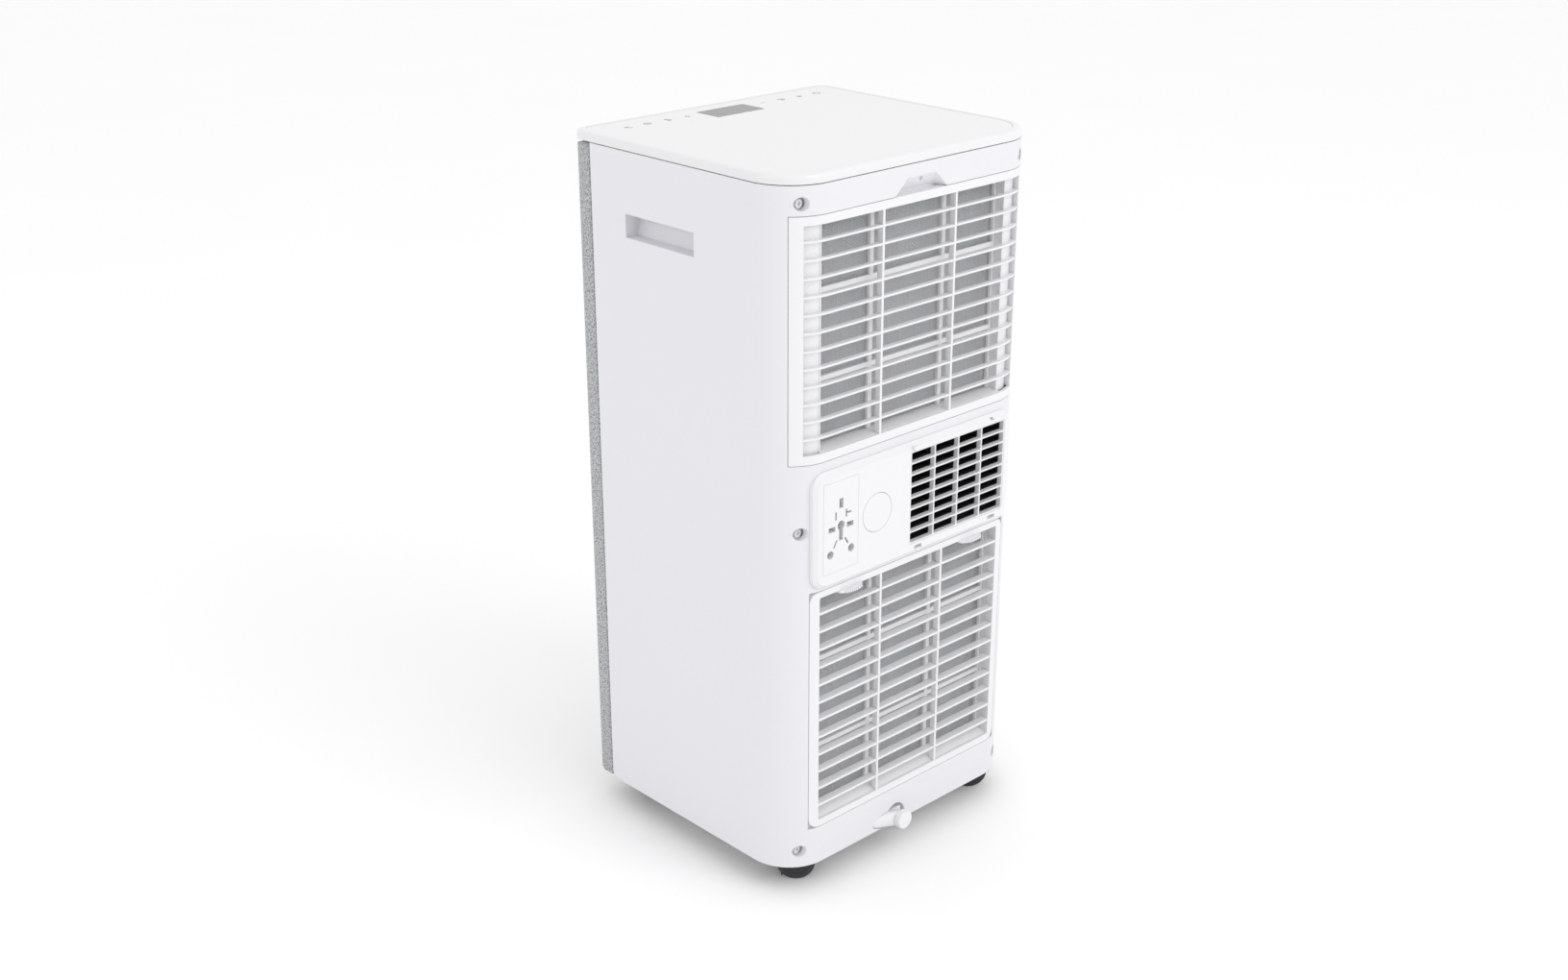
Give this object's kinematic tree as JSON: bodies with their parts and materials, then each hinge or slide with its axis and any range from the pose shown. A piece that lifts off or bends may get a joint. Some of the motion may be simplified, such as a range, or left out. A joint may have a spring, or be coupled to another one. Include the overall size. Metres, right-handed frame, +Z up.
{
  "type": "portable air conditioner",
  "caption": "Upright portable air conditioner: rounded cabinet with intake covers, exhaust grille and plug store at the rear, fabric front with louvred outlet, twin-wheel casters.",
  "frame": {"origin": "on the floor under the middle of the machine", "axes": "+Z up, +Y towards the rear with the intake covers, +X to the right seen from the front"},
  "size_m": [0.312, 0.294, 0.671],
  "materials": {
    "white_shell": "fine satin moulding",
    "white_cover": "satin moulding",
    "white_lid": "soft gloss",
    "white_cap": "satin",
    "grey_grille": "satin",
    "grey_fabric": "melange weave",
    "grey_net": "fine woven net",
    "display": "smoked gloss",
    "inner_plastic": "plain moulding",
    "black_plastic": "fine texture",
    "black_paint": "satin",
    "zinc_steel": "zinc plated",
    "fin_aluminium": "thin fins",
    "copper": "drawn copper tube",
    "circuit_board": "printed board",
    "grey_rubber": "soft",
    "capacitor_can": "drawn can"
  },
  "bodies": {
    "cabinet": {"cabinet_shell": "white_shell", "base_pan": "white_cover", "top_rim": "white_lid", "top_panel": "white_lid", "display_window": "display", "control_board": "circuit_board", "front_carrier": "black_plastic", "front_fabric": "grey_fabric", "outlet_surround": "white_cover", "rear_plate": "white_cover", "plug_holder": "white_cover", "exhaust_grille": "grey_grille", "partition_deck": "inner_plastic", "upper_scroll": "black_plastic", "lower_scroll": "black_plastic", "outlet_duct": "black_plastic", "upper_fan_motor": "black_paint", "lower_fan_motor": "black_paint", "evaporator_fins": "fin_aluminium", "evaporator_bends": "copper", "condenser_fins": "fin_aluminium", "condenser_bends": "copper", "drip_tray": "inner_plastic", "compressor": "black_paint", "accumulator": "black_paint", "compressor_grommets": "grey_rubber", "discharge_pipe": "copper", "suction_pipe": "copper", "control_box": "zinc_steel", "run_capacitor": "capacitor_can", "louvre_motor": "inner_plastic", "cable_gland": "black_plastic", "cabinet_screws": "zinc_steel", "caster_sleeves": "zinc_steel"},
    "upper_cover": {"upper_cover": "white_cover", "upper_filter_frame": "white_cap", "upper_filter_net": "grey_net"},
    "lower_cover": {"lower_cover": "white_cover", "lower_filter_frame": "white_cap", "lower_filter_net": "grey_net"},
    "louvre": {"louvre": "white_cover"},
    "upper_blower": {"upper_blower": "inner_plastic"},
    "lower_blower": {"lower_blower": "inner_plastic"},
    "drain_cap": {"drain_cap": "white_cap"},
    "blanking_cap": {"blanking_cap": "white_cover"},
    "vane_1": {"vane_1": "white_cap"},
    "vane_2": {"vane_2": "white_cap"},
    "vane_3": {"vane_3": "white_cap"},
    "vane_4": {"vane_4": "white_cap"},
    "vane_5": {"vane_5": "white_cap"},
    "caster_fork_1": {"caster_fork_1": "black_plastic"},
    "caster_wheels_1": {"caster_wheels_1": "black_plastic"},
    "caster_fork_2": {"caster_fork_2": "black_plastic"},
    "caster_wheels_2": {"caster_wheels_2": "black_plastic"},
    "caster_fork_3": {"caster_fork_3": "black_plastic"},
    "caster_wheels_3": {"caster_wheels_3": "black_plastic"},
    "caster_fork_4": {"caster_fork_4": "black_plastic"},
    "caster_wheels_4": {"caster_wheels_4": "black_plastic"}
  },
  "joints": [
    {"name": "upper_cover_tilt", "type": "hinge", "parent": "cabinet", "child": "upper_cover", "pos_m": [0, 0.133, 0.422], "axis": [-1, 0, 0], "range_deg": [0, 30]},
    {"name": "lower_cover_tilt", "type": "hinge", "parent": "cabinet", "child": "lower_cover", "pos_m": [0, 0.133, 0.0644], "axis": [-1, 0, 0], "range_deg": [0, 30]},
    {"name": "louvre_tilt", "type": "hinge", "parent": "cabinet", "child": "louvre", "pos_m": [0, -0.141, 0.567], "axis": [1, 0, 0], "range_deg": [0, 65]},
    {"name": "upper_blower_spin", "type": "hinge", "parent": "cabinet", "child": "upper_blower", "pos_m": [0, 0.02, 0.508], "axis": [0, 1, 0], "continuous": true},
    {"name": "lower_blower_spin", "type": "hinge", "parent": "cabinet", "child": "lower_blower", "pos_m": [-0.038, 0.02, 0.182], "axis": [0, 1, 0], "continuous": true},
    {"name": "drain_cap_pull", "type": "slide", "parent": "cabinet", "child": "drain_cap", "axis": [0, 1, 0], "range_m": [0, 0.03]},
    {"name": "blanking_cap_pull", "type": "slide", "parent": "cabinet", "child": "blanking_cap", "axis": [0, 1, 0], "range_m": [0, 0.03]},
    {"name": "vane_1_swing", "type": "hinge", "parent": "cabinet", "child": "vane_1", "pos_m": [-0.0976, -0.122, 0.593], "axis": [0, 0, 1], "range_deg": [-35, 35]},
    {"name": "vane_2_swing", "type": "hinge", "parent": "cabinet", "child": "vane_2", "pos_m": [-0.0488, -0.122, 0.593], "axis": [0, 0, 1], "range_deg": [-35, 35]},
    {"name": "vane_3_swing", "type": "hinge", "parent": "cabinet", "child": "vane_3", "pos_m": [0, -0.122, 0.593], "axis": [0, 0, 1], "range_deg": [-35, 35]},
    {"name": "vane_4_swing", "type": "hinge", "parent": "cabinet", "child": "vane_4", "pos_m": [0.0488, -0.122, 0.593], "axis": [0, 0, 1], "range_deg": [-35, 35]},
    {"name": "vane_5_swing", "type": "hinge", "parent": "cabinet", "child": "vane_5", "pos_m": [0.0976, -0.122, 0.593], "axis": [0, 0, 1], "range_deg": [-35, 35]},
    {"name": "caster_swivel_1", "type": "hinge", "parent": "cabinet", "child": "caster_fork_1", "pos_m": [0.121, 0.0975, 0.044], "axis": [0, 0, 1], "continuous": true},
    {"name": "caster_roll_1", "type": "hinge", "parent": "caster_fork_1", "child": "caster_wheels_1", "pos_m": [0.11605, 0.10245, 0.018], "axis": [0.7071, 0.7071, 0], "continuous": true},
    {"name": "caster_swivel_2", "type": "hinge", "parent": "cabinet", "child": "caster_fork_2", "pos_m": [-0.121, 0.0975, 0.044], "axis": [0, 0, 1], "continuous": true},
    {"name": "caster_roll_2", "type": "hinge", "parent": "caster_fork_2", "child": "caster_wheels_2", "pos_m": [-0.12595, 0.10245, 0.018], "axis": [0.7071, 0.7071, 0], "continuous": true},
    {"name": "caster_swivel_3", "type": "hinge", "parent": "cabinet", "child": "caster_fork_3", "pos_m": [0.121, -0.108, 0.044], "axis": [0, 0, 1], "continuous": true},
    {"name": "caster_roll_3", "type": "hinge", "parent": "caster_fork_3", "child": "caster_wheels_3", "pos_m": [0.11605, -0.10305, 0.018], "axis": [0.7071, 0.7071, 0], "continuous": true},
    {"name": "caster_swivel_4", "type": "hinge", "parent": "cabinet", "child": "caster_fork_4", "pos_m": [-0.121, -0.108, 0.044], "axis": [0, 0, 1], "continuous": true},
    {"name": "caster_roll_4", "type": "hinge", "parent": "caster_fork_4", "child": "caster_wheels_4", "pos_m": [-0.12595, -0.10305, 0.018], "axis": [0.7071, 0.7071, 0], "continuous": true}
  ],
  "couplings": [
    {"joint": "vane_2_swing", "follows": "vane_1_swing", "ratio": 1},
    {"joint": "vane_3_swing", "follows": "vane_1_swing", "ratio": 1},
    {"joint": "vane_4_swing", "follows": "vane_1_swing", "ratio": 1},
    {"joint": "vane_5_swing", "follows": "vane_1_swing", "ratio": 1}
  ]
}
